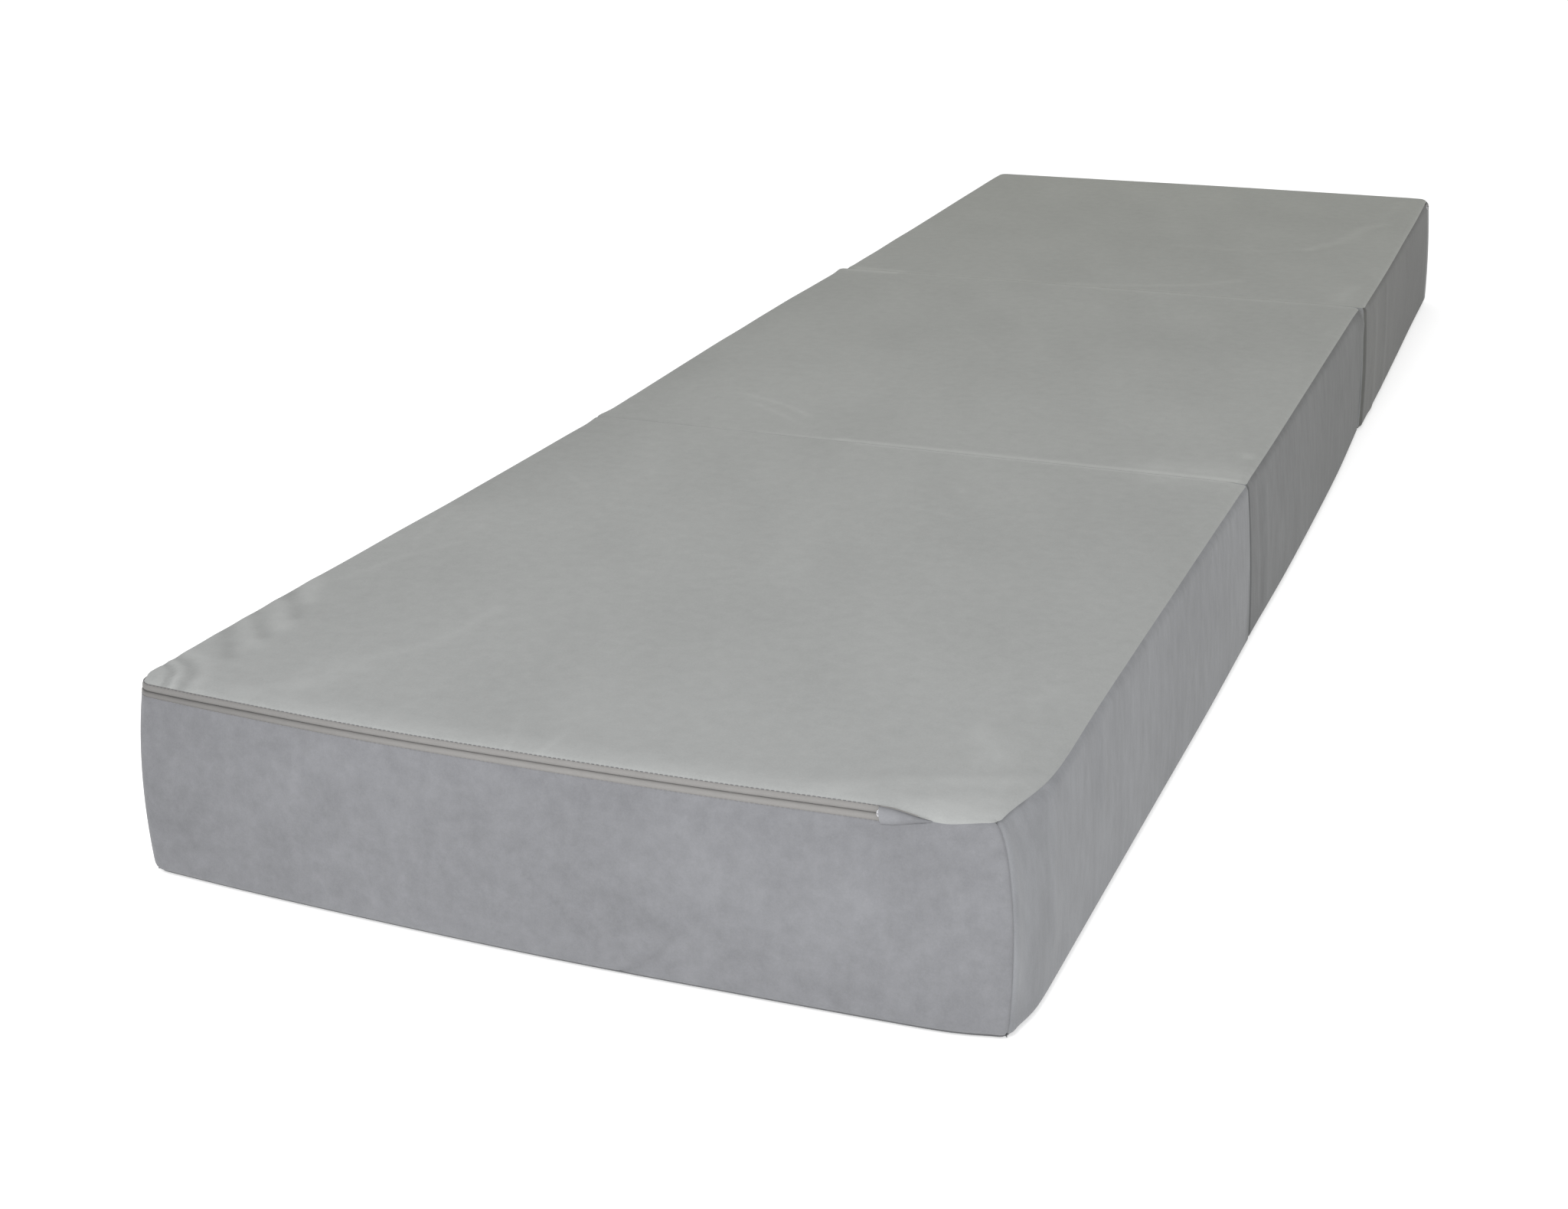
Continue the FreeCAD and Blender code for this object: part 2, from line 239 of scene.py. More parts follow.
class Shader:
    """A small helper that builds a node material around one Principled shader."""

    def __init__(self, name, roughness, specular=0.2, **fixed):
        self.material = bpy.data.materials.new(name)
        self.material.use_nodes = True
        self.tree = self.material.node_tree
        self.shader = self.tree.nodes["Principled BSDF"]
        self.set("Roughness", roughness)
        self.set("Specular IOR Level", specular)
        for socket, value in fixed.items():
            self.set(socket.replace("_", " "), value)

    def set(self, socket, value):
        self.shader.inputs[socket].default_value = value

    def node(self, kind, *links, **settings):
        node = self.tree.nodes.new(kind)
        for key, value in settings.items():
            if key in node.inputs:
                node.inputs[key].default_value = value
            elif key.replace("_", " ") in node.inputs:
                node.inputs[key.replace("_", " ")].default_value = value
            else:
                setattr(node, key, value)
        for socket, output in links:
            self.tree.links.new(output, node.inputs[socket])
        return node

    def place(self, stretch=(1, 1, 1)):
        """Object coordinates, scaled per axis."""
        coordinates = self.node("ShaderNodeTexCoord")
        return self.node("ShaderNodeMapping", ("Vector", coordinates.outputs["Object"]),
                         Scale=stretch).outputs["Vector"]

    def cloud(self, scale, detail=3, roughness=0.55, stretch=(1, 1, 1)):
        """Fractal noise from 0 to 1; scale is in features per metre."""
        return self.node("ShaderNodeTexNoise", ("Vector", self.place(stretch)), Scale=scale,
                         Detail=detail, Roughness=roughness).outputs["Fac"]

    def math(self, operation, a, b):
        node = self.node("ShaderNodeMath", operation=operation)
        for i, value in enumerate((a, b)):
            if isinstance(value, (int, float)):
                node.inputs[i].default_value = value
            else:
                self.tree.links.new(value, node.inputs[i])
        return node.outputs[0]

    def centred(self, value, amount):
        """amount times how far value is from a half."""
        return self.math("MULTIPLY", self.math("SUBTRACT", value, 0.5), amount)

    def colour(self, base, variation, far=None):
        """Base colour times 1 plus the variation."""
        tint = self.node("ShaderNodeVectorMath", operation="SCALE")
        tint.inputs[0].default_value = base
        if far:
            split = self.node("ShaderNodeSeparateXYZ", ("Vector", self.place()))
            share = self.node("ShaderNodeMapRange", ("Value", split.outputs["Y"]), From_Min=-1.0)
            blend = self.node("ShaderNodeMix", ("Factor", share.outputs[0]), data_type="VECTOR")
            blend.inputs["A"].default_value = base
            blend.inputs["B"].default_value = far
            self.tree.links.new(blend.outputs["Result"], tint.inputs[0])
        self.tree.links.new(self.math("ADD", variation, 1.0), tint.inputs["Scale"])
        self.tree.links.new(tint.outputs[0], self.shader.inputs["Base Color"])

    def bump(self, height, distance, strength=1.0, under=None):
        links = [("Height", height)] + ([("Normal", under)] if under else [])
        node = self.node("ShaderNodeBump", *links, Distance=distance, Strength=strength)
        self.tree.links.new(node.outputs["Normal"], self.shader.inputs["Normal"])
        return node.outputs["Normal"]


def velour(name, base, far=None, streaks=(1, 1, 1), blotch=0.10, cloudiness=0.06):
    """Short-pile velour: a mottled surface with brushed patches, a fine pile and a soft sheen.

    Its colour goes from base at the mattress's front end to far at its back end. That change is painted
    shade, darker away from the light.
    """
    m = Shader(name, 0.95, 0.12, Sheen_Weight=0.18, Sheen_Roughness=0.45)
    # The mesh attribute adds the cloth's own tone together with painted light and shade.
    nap = m.node("ShaderNodeAttribute", attribute_name="nap").outputs["Fac"]
    clouds = m.centred(m.cloud(7, 2), cloudiness)
    blotches = m.centred(m.cloud(85, 4, 0.68, streaks), blotch)
    pile = m.centred(m.cloud(900, 2, 0.7), 0.20)
    m.colour(base, m.math("ADD", nap, m.math("ADD", clouds, m.math("ADD", blotches, pile))), far)
    soft = m.bump(m.cloud(120, 3, 0.6, streaks), 0.5 * MM, 0.5)
    m.bump(m.cloud(1500, 2, 0.6), 0.12 * MM, 0.5, soft)
    return m.material


def foam(name, base):
    m = Shader(name, 0.95, 0.1)
    cells = m.node("ShaderNodeTexVoronoi", ("Vector", m.place()), Scale=450).outputs["Distance"]
    m.colour(base, m.math("ADD", m.centred(cells, 0.25), m.centred(m.cloud(12), 0.08)))
    m.bump(cells, 0.6 * MM, 0.7)
    return m.material


def ribbed(name, base, ribs, roughness=0.8):
    """Woven tape or strip: fine ribs with a soft variation."""
    m = Shader(name, roughness, 0.2, Sheen_Weight=0.1)
    wave = m.node("ShaderNodeTexWave", ("Vector", m.place()), Scale=ribs, Distortion=0.4,
                  wave_type="BANDS", bands_direction="DIAGONAL").outputs["Fac"]
    # The mesh attribute darkens the tape with painted shade.
    shade = m.node("ShaderNodeAttribute", attribute_name="nap").outputs["Fac"]
    weave = m.math("ADD", m.centred(wave, 0.16), m.centred(m.cloud(80), 0.10))
    m.colour(base, m.math("ADD", shade, weave))
    m.bump(wave, 0.1 * MM, 0.6)
    return m.material


def hard(name, base, roughness, metal=0.0, scratches=0.04):
    m = Shader(name, roughness, 0.5, Metallic=metal)
    m.colour(base, m.centred(m.cloud(300, 3), scratches))
    m.bump(m.cloud(700, 3), 0.02 * MM, 0.3)
    return m.material


STREAKED = (1, 1, 0.35)
# The flank colours are darker copies of one velour. They are painted shade that deepens from the front
# section's sides to the middle's and then the back's. Each far colour is painted shade too, darker
# towards the back. The front band and the garage take a darker, bluer copy.
MATERIALS = {
    "top": velour("velour_top", (0.319, 0.326, 0.322), (0.311, 0.318, 0.289), blotch=0.19),
    "front": velour("velour_front", (0.216, 0.219, 0.231), blotch=0.40),
    "side": velour("velour_side", (0.220, 0.225, 0.236), (0.196, 0.200, 0.196), STREAKED, 0.44),
    "middle_side": velour(
        "velour_middle_side", (0.138, 0.141, 0.146), (0.108, 0.111, 0.103), STREAKED, 0.48
    ),
    "back_side": velour("velour_back_side", (0.101, 0.102, 0.096), streaks=STREAKED, blotch=0.44),
    "base_foam": foam("base_foam", (0.45, 0.55, 0.68)),
    "memory_foam": foam("memory_foam", (0.80, 0.74, 0.56)),
    "tape": ribbed("zip_tape", (0.262, 0.255, 0.248), 900),
    "coil": hard("zip_coil", (0.05, 0.048, 0.048), 0.5),
    "metal": hard("zip_metal", (0.62, 0.62, 0.64), 0.27, metal=1.0),
    "thread": hard("thread", (0.14, 0.14, 0.145), 0.8),
    "pale_thread": hard("pale_thread", (0.22, 0.22, 0.23), 0.8),
    "strip": ribbed("hinge_strip", (0.30, 0.307, 0.295), 700),
}


# ---------------------------------------------------------------- the soft body of a section

MEETING = (1.4, 1.4, 1.4, 1.4, 1.4)


class Section:
    """One section: the box that the CAD gives it, and how its cover departs from that box.

    In millimetres and by side: top and bottom are the rounding radii of the upper and lower edges,
    rim and foot how far those edges stand out from the box at even steps along the side, and bulge
    how much further the side stands out at mid height.  MEETING is the rim where two sections meet.
    """

    def __init__(self, name, zip_side, wrap, corners, rim, foot, **shape):
        self.name = name
        self.body = f"{name}_section"
        low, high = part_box(f"{name}_bottom_panel")
        self.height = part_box(f"{name}_top_panel")[1][2]
        self.half_x = (high[0] - low[0]) / 2
        self.half_y = (high[1] - low[1]) / 2
        self.centre_y = (high[1] + low[1]) / 2
        self.zip_side = zip_side
        self.wrap = wrap * MM
        self.corners = {key: value * MM for key, value in corners.items()}
        self.rim = {side: np.array(rim[side]) * MM for side in SIDES}
        self.foot = {side: np.array(foot[side]) * MM for side in SIDES}
        self.shape = {
            key: {side: value.get(side, 0) * MM for side in SIDES} for key, value in shape.items()
        }

    def half(self, side):
        """Half the length of a side."""
        return self.half_x if side in ("front", "back") else self.half_y

    def reach(self, side):
        """Distance from the section's middle out to a side."""
        return self.half_y if side in ("front", "back") else self.half_x

    def of_side(self, key, x, y):
        """A shape value that differs by side, blended round the corners."""
        values = self.shape[key]
        ends = np.where(y > 0, values["back"], values["front"])
        flanks = np.where(x > 0, values["right"], values["left"])
        to_flank, to_end = self.half_x - np.abs(x), self.half_y - np.abs(y)
        weight = ease((to_flank - to_end) / (60 * MM), -0.5, 0.5)
        return flanks * (1 - weight) + ends * weight

    def corner_radius(self, x, y):
        return np.where(
            y < 0,
            np.where(x < 0, self.corners["front_left"], self.corners["front_right"]),
            np.where(x < 0, self.corners["back_left"], self.corners["back_right"]),
        )

    def soft_body(self, x, y, z):
        """Move points of the section's plain box, in its own middle's frame, onto the cover."""
        x, y, z = np.broadcast_arrays(np.asarray(x, float), y, z)
        to_edge = np.clip(np.minimum(self.half_x - np.abs(x), self.half_y - np.abs(y)), 0, None)
        upper = z > self.height / 2
        radius = np.where(upper, self.of_side("top", x, y), self.of_side("bottom", x, y))
        depth = np.where(upper, self.height - z, z)
        on_face = depth < 1e-9
        turn = np.where(on_face, 1 + np.minimum(1, to_edge / radius), 1 - np.minimum(1, depth / radius))
        angle = turn * math.pi / 4
        inset = radius * (1 - np.cos(angle)) + np.maximum(0, to_edge - radius)
        drop = radius * (1 - np.sin(angle)) + np.maximum(0, depth - radius)
        inside = to_edge >= radius
        out_x = np.where(inside, x, x * (self.half_x - inset) / np.maximum(self.half_x - to_edge, MM))
        out_y = np.where(inside, y, y * (self.half_y - inset) / np.maximum(self.half_y - to_edge, MM))
        out_z = np.where(upper, self.height - drop, drop)

        corner = self.corner_radius(x, y)
        over_x = np.maximum(0, np.abs(out_x) - (self.half_x - corner))
        over_y = np.maximum(0, np.abs(out_y) - (self.half_y - corner))
        length = np.maximum(np.hypot(over_x, over_y), 1e-9)
        squeeze = np.where((over_x > 0) & (over_y > 0), np.maximum(over_x, over_y) / length, 1)
        out_x = np.sign(out_x) * (np.abs(out_x) - over_x * (1 - squeeze))
        out_y = np.sign(out_y) * (np.abs(out_y) - over_y * (1 - squeeze))

        return self.swell(x, y, z, out_x, out_y, out_z)

    def swell(self, x, y, z, out_x, out_y, out_z):
        """Move points of the rounded box, or of what fills it, as the section's sides stand out."""
        level = out_z / self.height
        for side in SIDES:
            ox, oy = OUTWARD[side]
            towards = (x * ox + y * oy) / self.reach(side)
            along = (x * ALONG[side][0] + y * ALONG[side][1]) / self.half(side)
            belly = np.sin(math.pi * np.clip(level, 0, 1)) ** 0.8
            foot, rim = curve(self.foot[side], along), curve(self.rim[side], along)
            amount = foot + (rim - foot) * level + self.shape["bulge"][side] * belly
            weight = ease(towards, 0.35, 1)
            out_x = out_x + ox * amount * weight
            out_y = out_y + oy * amount * weight
        return self.settle(x, y, z, out_x, out_y, out_z)

    def settle(self, x, y, z, out_x, out_y, out_z):
        """Last small moves of the whole section: what its corners and upper edges do.

        The front section's right corner is drawn in and down at the top and rounded off at its foot,
        and its left corner is a little rounder all the way.  The middle section stands out to the
        right near its back end.  The top of every section settles by a fraction of a millimetre.
        """
        if self.name == "front":
            to_right, to_front = self.half_x - x, y + self.half_y
            level = out_z / self.height
            pull = np.exp(-((to_right / (70 * MM)) ** 2) - (to_front / (50 * MM)) ** 2)
            out_x = out_x - pull * (12 * level**2 + 4 * level**10) * MM
            out_y = out_y + pull * 2 * level**2 * MM
            pull = np.exp(-((to_right / (70 * MM)) ** 2) - (to_front / (105 * MM)) ** 2)
            out_z = out_z - pull * 6.5 * level**4 * MM
            pull = np.exp(-((x + self.half_x) ** 2 + (y + self.half_y) ** 2) / (45 * MM) ** 2)
            inward = pull * (2.5 * level**4 + 1.2 * (1 - level) ** 3) * MM
            out_x = out_x + inward
            out_y = out_y + inward
            pull = np.exp(-(to_right**2 + to_front**2) / (28 * MM) ** 2)
            out_x = out_x - pull * 6 * (1 - level) ** 2 * MM
            out_y = out_y + pull * 6 * (1 - level) ** 2 * MM
        if self.name == "middle":
            pull = np.exp(-(((y - self.half_y) / (35 * MM)) ** 2))
            pull = pull * ease(x, 0.8 * self.half_x, self.half_x)
            depth = 1 - out_z / self.height
            out_x = out_x + 5 * MM * pull * ease(depth, 0, 0.12) * np.exp(-((depth / 0.35) ** 2))
        calm = ease(self.height - z, 12 * MM, 0)
        relief = noise(x + self.centre_y, y, 150 * MM, 5) + 0.5 * noise(x, y + self.centre_y, 70 * MM, 8)
        relief = relief * ease(self.half_y - np.abs(y), 0, 40 * MM)
        out_z = out_z - calm * 0.5 * MM * (1.2 + relief)
        return np.stack([out_x, out_y + self.centre_y, out_z], axis=-1)

    def on_side(self, side, along, z):
        """Plain-box points on a side, which carry on round its corners."""
        half, reach = self.half(side), self.reach(side)
        along, z = np.broadcast_arrays(np.asarray(along, float), z)
        past = np.maximum(0, np.abs(along) - half)
        flat = np.clip(along, -half, half)
        (ax, ay), (ox, oy) = ALONG[side], OUTWARD[side]
        return ax * flat + ox * (reach - past), ay * flat + oy * (reach - past), z


SECTIONS = [
    Section(
        "front", "front", 30,
        dict(front_left=12, front_right=9, back_left=6, back_right=4),
        rim=dict(front=(1, 14, 15, 10.5, -3), right=(0, 0, 0, 0, 0),
                 back=MEETING, left=(-4.6, -3.2, 0.2, 3.6, 8)),
        foot=dict(front=(12, 20, 24.3, 22.5, 18.5), right=(5, 6.5, 8, 9.5, 9.5),
                  back=(-1.2, -1, -1, -1, -1.5), left=(0, 1, 2, 3, 5)),
        bulge=dict(front=3, right=2, left=2),
        top=dict(front=5, right=10, back=0.9, left=8),
        bottom=dict(front=8, right=8, back=7, left=8),
    ),
    Section(
        "middle", "left", 0,
        dict(front_left=6, front_right=4, back_left=8, back_right=7),
        rim=dict(front=MEETING, right=(-0.5, -1, -2.5, -4, -5),
                 back=MEETING, left=(5, 4.5, 2.7, -0.6, -4)),
        foot=dict(front=(-1.5, -1, -1, -1, -1.2), right=(9, 10.5, 10, 8, 3.2),
                  back=(-6, -2.5, -1.5, -1.5, -2), left=(3, 3, 2, 1, 0)),
        bulge=dict(right=2, left=2),
        top=dict(front=0.9, right=10, back=1.4, left=8),
        bottom=dict(front=7, right=8, back=8, left=8),
    ),
    Section(
        "back", "back", 30,
        dict(front_left=9, front_right=9, back_left=12, back_right=12),
        rim=dict(front=MEETING, right=(0, -1.5, -4, -7, -11),
                 back=(2, 5, 7, 5, 3), left=(7, 4.5, 1.5, -1, -3)),
        foot=dict(front=(-1, -1, -1, -1.5, -2.5), right=(5.2, 3.6, 1, -2, -4),
                  back=(3, 6, 8, 6, 3), left=(6, 4, 2, 0, -1)),
        bulge=dict(right=2, left=2, back=3),
        top=dict(front=1.4, right=10, back=6, left=6),
        bottom=dict(front=8, right=8, back=8, left=8),
    ),
]


# ---------------------------------------------------------------- cover panels

FABRIC = 1.4 * MM
SEAM_DEPTH = 1.0 * MM
SEAM_WIDTH = 1.6 * MM
STEP = {"front": 3.5 * MM, "middle": 5 * MM, "back": 6 * MM}

# The zip's lines, measured down the plain side from the upper edge.
TOP_EDGE = 2.6 * MM
SLIT = 7.4 * MM
SLIT_WIDTH = 0.9 * MM
BAND_EDGE = 11.2 * MM
CLOSED_SEAM = 7.2 * MM
CORNER_SEAM = 0.4 * MM
TUCK = 1.6 * MM
TAPE_RECESS = 0.9 * MM
CORNER_DROOP = 2.6 * MM
CLOSED_MARGIN = 47 * MM
OPEN_MARGIN = 14 * MM
GARAGE_LENGTH = 35 * MM


def closing(section, along):
    """How far the cover's edges have come together at a place along the zip side: 0 apart, 1 shut."""
    half = section.half(section.zip_side)
    end = half - CLOSED_MARGIN
    shut = ease(along, end - GARAGE_LENGTH + 4 * MM, end + 3 * MM)
    if not section.wrap:
        start = OPEN_MARGIN - half
        shut = np.maximum(shut, ease(along, start + 6 * MM, start - 2 * MM))
    return shut


def droop(section, along):
    """How much lower the zip lies at the corner that it turns round."""
    if section.name != "front":
        return 0 * along
    half = section.half(section.zip_side)
    return CORNER_DROOP * np.exp(-((np.maximum(0, along + half) / (70 * MM)) ** 2))


def closed_seam(section, along):
    """Where the closed seam lies: it climbs back to the plain edge at the corner."""
    half = section.half(section.zip_side)
    return CORNER_SEAM + (CLOSED_SEAM - CORNER_SEAM) * ease(half - along, 0, 40 * MM)


def top_edge(section, along):
    shut = closing(section, along)
    return (TOP_EDGE + 1.3 * droop(section, along)) * (1 - shut) + closed_seam(section, along) * shut


def band_edge(section, along):
    shut = closing(section, along)
    return (BAND_EDGE + 0.6 * droop(section, along)) * (1 - shut) + closed_seam(section, along) * shut


def seam(points, rows, columns, edges, depth=1.0):
    """Draw the fabric in along the chosen edges of a panel, by a share of the full depth."""
    to_rows = [rows - rows[0], rows[-1] - rows]
    to_columns = [columns - columns[0], columns[-1] - columns]
    groove = np.zeros(points.shape[:2])
    for edge, distance in zip(("low", "high"), to_rows):
        if edge in edges:
            groove = np.maximum(groove, np.exp(-((distance / SEAM_WIDTH) ** 2))[:, None])
    for edge, distance in zip(("start", "end"), to_columns):
        if edge in edges:
            groove = np.maximum(groove, np.exp(-((distance / SEAM_WIDTH) ** 2))[None, :])
    return points - grid_normals(points) * (groove * depth * SEAM_DEPTH)[..., None]


def flank_seam(section, x, y):
    """Share of the seam's depth on top: pulled nearly smooth along the flanks and the folds."""
    flank = ease(np.abs(x), section.half_x - 30 * MM, section.half_x - 8 * MM)
    folds = {"front": y > 0, "middle": True, "back": y < 0}[section.name]
    share = 1 - 0.9 * folds * ease(np.abs(y), section.half_y - 30 * MM, section.half_y - 8 * MM)
    if section.name == "front":
        far = ease(y, 0.15, section.half_y)
        corner = ease(y, -section.half_y + 25 * MM, -section.half_y)
        share = np.minimum(share, 1 - flank * (0.85 - 0.4 * far - 0.35 * corner))
    else:
        share = np.minimum(share, 1 - 0.9 * flank)
    outward = OUTWARD[section.zip_side]
    edge = section.reach(section.zip_side) - (x * outward[0] + y * outward[1])
    return np.minimum(share, 0.4 + 0.6 * ease(edge, 2 * MM, 12 * MM))


def declare(piece, section, *nodes, slot="cover_velour", body=None, flat=None, held="stretched", **cut):
    """Attach a piece to the body that it moves with and hide the CAD nodes it stands for; slot, flat,
    held and the other keywords are not used.
    """
    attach(piece, body or section.body)
    if nodes:
        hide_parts(*(f"{section.name}_{node}" for node in nodes))


def top_panel(section):
    side = section.zip_side
    half, depth = section.half(side), 2 * section.reach(side)
    along = stations(-half, half, STEP[section.name])
    hem = np.array([-1, -0.93, -0.8, -0.6, -0.3])
    inward = np.concatenate([hem * TOP_EDGE, stations(0, depth, STEP[section.name])])
    s, q = np.meshgrid(along, inward)
    (ax, ay), (ox, oy) = ALONG[side], OUTWARD[side]
    out = section.reach(side) - np.maximum(q, 0)
    x, y = ax * s + ox * out, ay * s + oy * out
    z = section.height + np.minimum(q, 0) * top_edge(section, s) / TOP_EDGE
    points = section.soft_body(x, y, z)
    folds = strokes(x, y + section.centre_y, TOP_FOLDS[section.name]) + corner_rings(section, x, y)
    folds = folds * ease(section.half_x - np.abs(x), -6 * MM, 22 * MM) * ease(q, 1 * MM, 12 * MM)
    points = points + grid_normals(points) * (folds * MM)[..., None]
    points = seam(points, inward, along, ("low", "high", "start", "end"), flank_seam(section, x, y))
    piece = cloth(f"{section.name}_top_cover", points, FABRIC, MATERIALS["top"], top_tone_and_painted_light(section, x, y))
    declare(piece, section, "top_panel", flat=(2 * section.half_x, 2 * section.half_y))


def strokes(x, y, marks):
    """Sum of soft strokes, each a width, a strength and the line it follows, in millimetres."""
    total = np.zeros(np.broadcast(x, y).shape)
    for width, strength, *line in marks:
        distance = np.full(total.shape, np.inf)
        for (x0, y0), (x1, y1) in zip(line, line[1:]):
            run, climb = x1 - x0, y1 - y0
            along = ((x / MM - x0) * run + (y / MM - y0) * climb) / (run**2 + climb**2)
            along = np.clip(along, 0, 1)
            reach = np.hypot(x / MM - x0 - along * run, y / MM - y0 - along * climb)
            distance = np.minimum(distance, reach)
        total += strength * np.exp(-((distance / width) ** 2))
    return total


# Where the tops are lighter or darker: width, strength, line. Most are brushed pile. Those that follow a
# fold in TOP_FOLDS, and the dark ones between the front's folds at its left corner, are painted light on
# the ridges and painted shade between them.
TOP_MARKS = {
    "front": [
        (6, 0.05, (-140, -803), (-145, -853), (-155, -883), (-175, -913)),
        (15, 0.07, (-180, -928), (-188, -956)),
        (9, 0.05, (-192, -965), (-217, -990)),
        (55, -0.10, (-305, -345), (-305, -570)),
        (5, 0.04, (-240, -693), (-262, -740), (-275, -790)),
        (3, 0.04, (-285, -613), (-265, -708)),
        (8, 0.07, (238, -888), (262, -920)),
        (7, 0.05, (265, -812), (262, -840)),
        (9, 0.06, (185, -990), (232, -966), (285, -945)),
        (18, 0.10, (255, -990), (285, -980)),
        (3, 0.04, (62, -488), (95, -497)),
        (2.5, 0.05, (-247, -500), (-205, -533)),
        (3, 0.05, (-178, -470), (-172, -480)),
        (3, 0.05, (84, -428), (86, -440)),
        (2.5, 0.06, (-38, -953), (-22, -998)),
        (2.5, 0.06, (2, -972), (0, -1000)),
        (20, 0.08, (230, -345), (280, -345)),
        (2.5, 0.14, (-40, -337), (290, -337)),
        (8, 0.13, (-290, -805), (-272, -838)),
        (8, 0.15, (-286, -850), (-257, -890)),
        (7, 0.13, (-292, -882), (-258, -925)),
        (6, -0.14, (-298, -828), (-262, -868)),
        (5, -0.14, (-300, -868), (-262, -908)),
        (6, -0.11, (-300, -900), (-262, -945)),
    ],
    "middle": [
        (4, 0.18, (-60, -328), (290, -328)),
        (3, -0.03, (-290, -330), (-200, -330)),
        (3, 0.09, (-130, -330), (-60, -330)),
        (26, 0.12, (225, -315), (280, -315)),
        (50, -0.09, (-305, -325), (-305, -130)),
        (40, -0.05, (-305, -150), (-305, 250)),
        (3.5, 0.08, (-195, -220), (-150, -240), (-110, -270)),
        (3, 0.06, (-175, -245), (-115, -290)),
        (7, 0.15, (285, -257), (285, -252)),
        (2.5, 0.04, (-90, 100), (-40, 40), (-15, 0)),
        (5, 0.05, (285, 215), (285, 195)),
        (7, 0.17, (-285, 326), (-232, 326)),
        (4, 0.06, (-230, 328), (0, 328)),
        (6, 0.09, (0, 328), (290, 328)),
    ],
    "back": [
        (5, 0.14, (-285, 339), (-232, 339)),
        (4, 0.05, (-230, 338), (280, 338)),
        (7, 0.07, (-26, 342), (44, 358), (104, 380), (144, 420)),
        (8, 0.08, (264, 800), (241, 765), (234, 715), (224, 670), (194, 615)),
        (8, 0.05, (194, 615), (144, 590), (39, 585)),
        (9, 0.04, (269, 960), (254, 835)),
        (10, 0.08, (274, 430), (269, 360)),
    ],
}

# The same on the bands, by section and side: the place along the band and the height above the floor.
# Where a stroke follows a fold in BAND_FOLDS, the light ones are painted light on its ridge and the dark
# ones painted shade in its crease. The dark stroke between the back's two folds is painted shade too.
# The dark strokes by joint 1, and low on the middle's right side near joint 2, are painted shadow. The
# narrow light strokes right at the joints are painted light over the shadow in the gap. The broad light
# stroke by the front's right corner is a painted highlight on its rounding, and the thin dark stroke
# along the top there is painted shade in the seam.
BAND_MARKS = {
    ("front", "front"): [
        (3, 0.08, (-172, 118), (-175, 88)),
        (2, -0.05, (-21, 72), (19, 100)),
        (2, -0.07, (-11, 62), (34, 22)),
        (2, -0.08, (54, 2), (81, 22), (94, 42)),
        (2, -0.07, (69, 50), (84, 37)),
        (8, -0.05, (62, 6), (84, 12)),
        (2, -0.04, (-81, 82), (-26, 97)),
        (2, -0.05, (216, 3), (216, 25)),
        (16, -0.04, (-280, 110), (-220, 112)),
        (30, 0.05, (120, 80), (230, 60)),
    ],
    ("front", "right"): [
        (26, 0.17, (-992, 125), (-992, 45)),
        (1.6, -0.3, (-1000, 140), (-965, 140)),
        (8, 0.06, (-941, 140), (-936, 60)),
        (8, 0.05, (-827, 145), (-827, 88)),
        (7, -0.22, (-338, 60), (-342, 10)),
        (6, 0.04, (-1000, 60), (-975, 10)),
    ],
    ("middle", "right"): [
        (38, -0.09, (-325, 140), (-322, 10)),
        (3, 0.22, (-332, 130), (-332, 5)),
        (8, 0.04, (-270, 100), (-265, 30)),
        (7, 0.04, (-200, 70), (-190, 20)),
        (70, -0.06, (180, 0), (330, 20)),
        (16, 0.11, (262, 130), (330, 110)),
    ],
    ("back", "right"): [
        (4, 0.4, (335, 130), (335, 0)),
        (24, 0.07, (415, 100), (415, 10)),
        (18, 0.05, (508, 110), (508, 30)),
        (22, -0.05, (463, 90), (463, 20)),
        (60, -0.06, (620, 5), (980, 5)),
    ],
}

# Small folds of the cloth itself, drawn the same way, with their height in millimetres.
TOP_FOLDS = {
    "front": [
        (6, 1.1, (-302, -795), (-272, -838)),
        (6, 1.4, (-302, -842), (-257, -892)),
        (6, 1.2, (-302, -878), (-258, -927)),
        (6, 0.9, (-302, -912), (-268, -950)),
        (4, 0.5, (-285, -613), (-265, -708)),
        (9, 0.6, (180, -985), (232, -962), (290, -943)),
        (7, -0.5, (170, -970), (232, -945), (290, -925)),
    ],
    "middle": [(4, 0.5, (-195, -220), (-150, -240), (-110, -270))],
    "back": [(9, 0.5, (264, 800), (241, 765), (234, 715), (224, 670), (194, 615), (39, 585))],
}
BAND_FOLDS = {
    ("front", "front"): [
        (2, -0.4, (-21, 72), (19, 100)),
        (2, -0.5, (-11, 62), (34, 22)),
        (2, -0.6, (54, 2), (81, 22), (94, 42)),
        (2.5, 0.4, (-172, 118), (-175, 88)),
    ],
    ("front", "right"): [
        (13, -1.5, (-984, 140), (-984, 20)),
        (12, 1.0, (-941, 140), (-936, 40)),
        (10, 0.8, (-827, 145), (-827, 80)),
    ],
    ("middle", "right"): [(10, -0.8, (-290, 130), (-285, 20)), (8, 0.6, (-262, 110), (-262, 20))],
    ("back", "right"): [(14, 0.9, (415, 110), (415, 10)), (12, 0.8, (508, 120), (508, 20))],
}

# Rings of folds round the corner that the zip turns: radius, width and height in millimetres.
CORNER_RINGS = [(49, 6, 0.7), (38, 4, -1.1), (30, 3, 1.2), (24, 3, -1.3), (18, 3.5, 0.5)]


def corner_rings(section, x, y):
    """Height of the folds round the front section's left corner, in millimetres."""
    if section.name != "front":
        return 0 * x
    radius = np.hypot(x + section.half_x, y + section.half_y) / MM
    return sum(h * np.exp(-(((radius - r) / w) ** 2)) for r, w, h in CORNER_RINGS)


